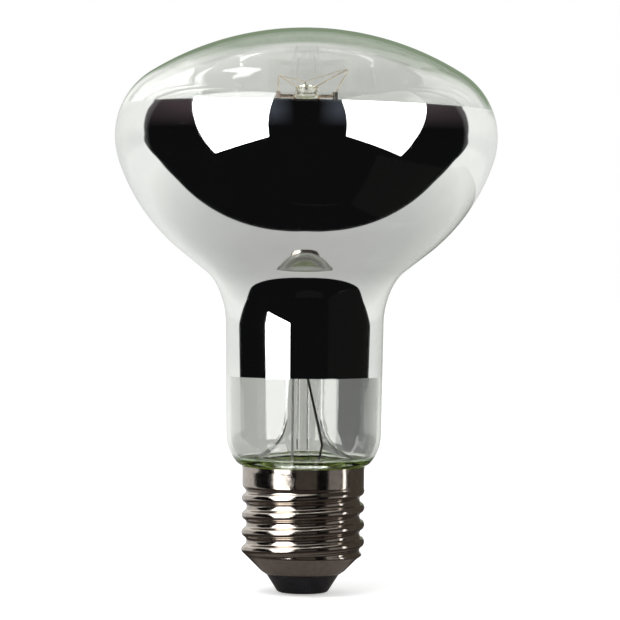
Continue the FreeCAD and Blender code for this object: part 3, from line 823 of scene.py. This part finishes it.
# Sheets before the cap: their angles and heights, strength, colour and the longest way from which they show
CAP_SHEETS = {
    "side_strip": ((73, 78.5, 0, 30), 3.2, (1, 1, 1), 58),
    "low_softbox": ((-50, -23, -5, 18.5), 5, (1, 1, 1), 58),
    "dim_front": ((-12, 23, 0, 32), 0.08, (1, 0.88, 0.8), 58),
    "grey_side": ((44, 69, 0, 30), 0.27, (1, 0.95, 0.93), 58),
    "dark_side": ((85, 150, 0, 80), 0.085, (1, 0.9, 0.75), 85),
    "dark_above": ((30, 85, 32, 80), 0.06, (1, 0.9, 0.75), 85),
}

card("left_softbox", LEFT_SOFTBOX, 5.5)
card("right_softbox", RIGHT_SOFTBOX, 2.6, hidden_from=NOT_CAP)
for name, (place, strength, colour, reach) in CAP_SHEETS.items():
    card(name, cap_sheet(*place), strength, colour, hidden_from=NOT_FILM, within=reach)
card("glint", GLINT, 5)
# The table and the sheet under the cap carry painted shade by the distance from the lamp's foot.
card("table", table_corners(), 1, painted_shade=TABLE_PAINTED_SHADE, hidden_from=NOT_CAP)
card("under_cap", table_corners(), 1, painted_shade=UNDER_CAP_PAINTED_SHADOW, hidden_from=NOT_FILM)
card("dark_above_dome", arch_corners(), 1, (0.17, 0.215, 0.15), behind=True)
card("dark_right", DARK_RIGHT, 0.17, behind=True)


FLOOR_HALF = 4.0
FLOOR_COLOUR = (0.9, 0.9, 0.9)
FLOOR_GLOW = 0.45


def floor():
    """Pale matt floor. It glows for the camera alone, so that it meets the white room and keeps the shadow."""
    mesh = bpy.data.meshes.new("floor")
    corners = [(x * FLOOR_HALF, y * FLOOR_HALF, 0) for x, y in ((-1, -1), (1, -1), (1, 1), (-1, 1))]
    mesh.from_pydata(corners, [], [(0, 1, 2, 3)])
    material, tree, shader = new_material("floor")
    shader.inputs["Base Color"].default_value = (*FLOOR_COLOUR, 1)
    shader.inputs["Roughness"].default_value = 1
    shader.inputs["Specular IOR Level"].default_value = 0
    shader.inputs["Emission Color"].default_value = (1, 1, 1, 1)
    path = tree.nodes.new("ShaderNodeLightPath")
    glow = node(tree, "ShaderNodeMapRange", To_Min=0, To_Max=FLOOR_GLOW)
    tree.links.new(path.outputs["Is Camera Ray"], glow.inputs["Value"])
    tree.links.new(glow.outputs["Result"], shader.inputs["Emission Strength"])
    mesh.materials.append(material)
    made = linked("floor", mesh)
    made.visible_glossy = False
    made.visible_transmission = False


# Levels of the room, as it shows to each kind of light
DARK_FRONT = (0.0045, 0.0045, 0.005)
FRONT_HAZE = [(0.5, (0.056, 0.062, 0.078)), (0.85, (0.062, 0.046, 0.052))]
LOW_BACK = ((0.86, 0.86, 0.855), (0.88, 0.88, 0.88))
HIGH_BACK = (0.97, 0.97, 0.96)
FRONT_EDGE = [(0.0, 0.41), (0.2, 0.39), (0.4, 0.41), (0.78, 0.44), (0.945, 0.43)]
RIM_LIGHT = [
    (0.12, (1, 1, 0.98)),
    (0.26, (0.22, 0.28, 0.19)),
    (0.72, (0.24, 0.30, 0.21)),
    (0.95, (0.80, 0.81, 0.79)),
]
OVERHEAD = ((1.25, 1.25, 1.23), (0.55, 0.55, 0.54))
BACK_OF_SIDES = (0.72, 0.72, 0.715)
INSIDE_ONCE = (0.03, 0.035, 0.03)
INSIDE_AGAIN = (0.9, 0.9, 0.88)
STRAIGHT_THROUGH = (0.50, 0.50, 0.485)
ON_MATT = (0.75, 0.75, 0.75)
WHITE = (1, 1, 1)


def world():
    """White to the camera. Reflections see light behind and dark in front, and the glass lets a greyer wall through."""
    made = bpy.data.worlds.new("studio")
    bpy.context.scene.world = made
    made.use_nodes = True
    tree = made.node_tree
    tree.nodes.clear()
    path = tree.nodes.new("ShaderNodeLightPath")
    place = tree.nodes.new("ShaderNodeTexCoord")
    split = tree.nodes.new("ShaderNodeSeparateXYZ")
    tree.links.new(place.outputs["Generated"], split.inputs["Vector"])
    across, away, up = split.outputs["X"], split.outputs["Y"], split.outputs["Z"]
    passes = path.outputs["Transmission Depth"]

    def more_than(source, limit):
        return maths(tree, "GREATER_THAN", source, limit)

    # What the film mirrors, seen through one wall of glass
    aside = maths(tree, "ABSOLUTE", across)
    lift = maths(tree, "MULTIPLY", scaled(tree, up, 0.1, 0.5), scaled(tree, aside, 0.12, 0.30))
    front = blend(tree, lift, DARK_FRONT, ramp(tree, aside, FRONT_HAZE))
    low_back = blend(tree, scaled(tree, across, -0.2, 0.2), *LOW_BACK)
    back = blend(tree, scaled(tree, up, -0.02, 0.1), low_back, HIGH_BACK)
    grey_stops = [(share, (level, level, level)) for share, level in FRONT_EDGE]
    edge = ramp(tree, scaled(tree, up, -0.1, 0.45), grey_stops)
    in_film = blend(tree, scaled(tree, maths(tree, "SUBTRACT", away, edge), 0, 0.025), front, back)

    # What the cap and the sides of the glass mirror, and above them the dome
    sides = blend(tree, scaled(tree, away, 0.30, 0.36), DARK_FRONT, BACK_OF_SIDES)
    rim = ramp(tree, scaled(tree, across, -0.4, 0.6), RIM_LIGHT)
    overhead = blend(tree, scaled(tree, across, -0.35, 0.35), *OVERHEAD)
    dome = blend(tree, scaled(tree, up, 0.64, 0.70), rim, overhead)
    rise = maths(tree, "ADD", up, maths(tree, "MULTIPLY", away, 0.5))
    bent = maths(tree, "MULTIPLY", maths(tree, "MULTIPLY", across, across), 0.25)
    rise = maths(tree, "SUBTRACT", rise, bent)

    # What the inner faces mirror, seen through more than one wall
    inside = blend(tree, more_than(path.outputs["Glossy Depth"], 1.5), INSIDE_ONCE, INSIDE_AGAIN)

    mirrored = blend(tree, more_than(passes, 0.5), sides, in_film)
    mirrored = blend(tree, scaled(tree, rise, 0.55, 0.62), mirrored, dome)
    mirrored = blend(tree, more_than(passes, 2.5), mirrored, inside)
    level = blend(tree, reflected(tree), STRAIGHT_THROUGH, mirrored)
    level = blend(tree, more_than(path.outputs["Diffuse Depth"], 0.5), level, ON_MATT)
    level = blend(tree, path.outputs["Is Camera Ray"], level, WHITE)
    sky = node(tree, "ShaderNodeBackground", Strength=1)
    tree.links.new(level, sky.inputs["Color"])
    out = tree.nodes.new("ShaderNodeOutputWorld")
    tree.links.new(sky.outputs["Background"], out.inputs["Surface"])


CAMERA_DISTANCE = 600 * MM
CAMERA_ASIDE = 1.1 * MM
CAMERA_ROLL = 0.5
EYE_HEIGHT = 71.3 * MM
AIM_HEIGHT = 60.2 * MM
FRAME_WIDTH = 131.6 * MM
SENSOR_WIDTH = 36


def camera():
    data = bpy.data.cameras.new("camera")
    data.sensor_width = SENSOR_WIDTH
    data.lens = SENSOR_WIDTH * CAMERA_DISTANCE / FRAME_WIDTH
    data.clip_start = 0.05
    made = linked("camera", data)
    made.location = (CAMERA_ASIDE, -CAMERA_DISTANCE, EYE_HEIGHT)
    pitch = math.atan2(EYE_HEIGHT - AIM_HEIGHT, CAMERA_DISTANCE)
    turn = Matrix.Rotation(math.pi / 2 - pitch, 4, "X") @ Matrix.Rotation(math.radians(CAMERA_ROLL), 4, "Z")
    made.rotation_euler = turn.to_euler()
    bpy.context.scene.camera = made


LIGHT_PLACE = (-0.25, -0.35, 0.9)
LIGHT_AIM = (0, 0, 0.06)


def top_light():
    """Soft light from above on the left, which only matt surfaces see."""
    data = bpy.data.lights.new("top_light", "AREA")
    data.shape = "DISK"
    data.size = 0.7
    data.energy = 6
    made = linked("top_light", data)
    made.location = LIGHT_PLACE
    made.rotation_euler = (Vector(LIGHT_AIM) - made.location).to_track_quat("-Z", "Y").to_euler()
    made.visible_camera = False
    made.visible_glossy = False
    made.visible_transmission = False


floor()
world()
camera()
top_light()

scene = bpy.context.scene
scene.view_settings.view_transform = "Standard"
scene.cycles.max_bounces = 24
scene.cycles.transmission_bounces = 24
scene.cycles.glossy_bounces = 12
